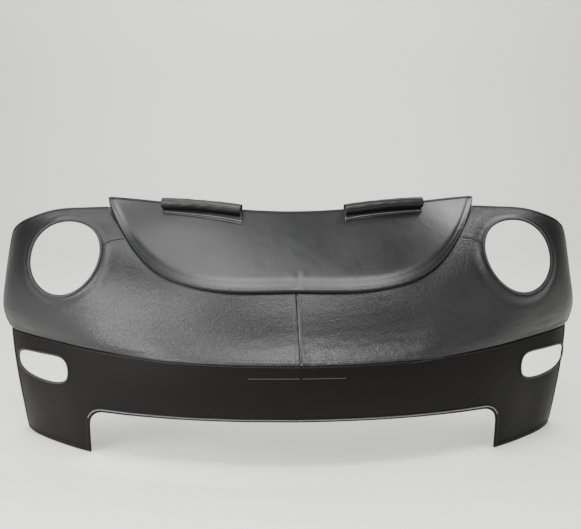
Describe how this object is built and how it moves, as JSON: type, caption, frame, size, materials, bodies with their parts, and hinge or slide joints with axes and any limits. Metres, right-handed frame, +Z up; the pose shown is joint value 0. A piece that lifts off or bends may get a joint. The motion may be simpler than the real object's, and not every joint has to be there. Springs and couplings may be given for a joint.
{
  "type": "front end cover",
  "caption": "Black vinyl front end cover for a small round-nosed car, in its fitted shape: a nose and bumper mask and a hood edge piece with padded rolls.",
  "frame": {"origin": "foremost point of the crest seam between the nose and the bumper, on the centre line; this is where the cover bears on the car's nose", "axes": "+X across the car, to the right as the picture shows it; +Y back from the nose towards the windscreen; +Z up"},
  "size_m": [1.7352, 0.5401, 0.7041],
  "materials": {
    "cover_vinyl": "black vinyl with a soft sheen and a fine leather grain, soft inside",
    "bumper_vinyl": "flatter black vinyl on the bumper",
    "binding": "folded woven binding and hems",
    "seam_tape": "sewn allowances and facings, backing side of the vinyl",
    "foam": "closed-cell foam inside the rolls"
  },
  "bodies": {
    "root": {"nose_panel_left": "cover_vinyl", "nose_panel_right": "cover_vinyl", "bumper_panel_left": "bumper_vinyl", "bumper_panel_right": "bumper_vinyl", "hood_panel": "cover_vinyl", "hood_rear_hem": "cover_vinyl", "hood_facing": "seam_tape", "nose_flap": "cover_vinyl", "fender_hem_left": "cover_vinyl", "fender_hem_right": "cover_vinyl", "nose_side_hem_left": "cover_vinyl", "nose_side_hem_right": "cover_vinyl", "headlight_binding_left": "binding", "headlight_binding_right": "binding", "arch_hem_left": "bumper_vinyl", "arch_hem_right": "bumper_vinyl", "signal_binding_left": "binding", "signal_binding_right": "binding", "lower_hem_left": "bumper_vinyl", "lower_hem_right": "bumper_vinyl", "crest_seam_allowance_left": "seam_tape", "crest_seam_allowance_right": "seam_tape", "nose_seam_allowance": "seam_tape", "bumper_seam_allowance": "seam_tape", "roll_sleeve_left": "cover_vinyl", "roll_sleeve_right": "cover_vinyl", "roll_core_left": "foam", "roll_core_right": "foam"}
  },
  "joints": []
}
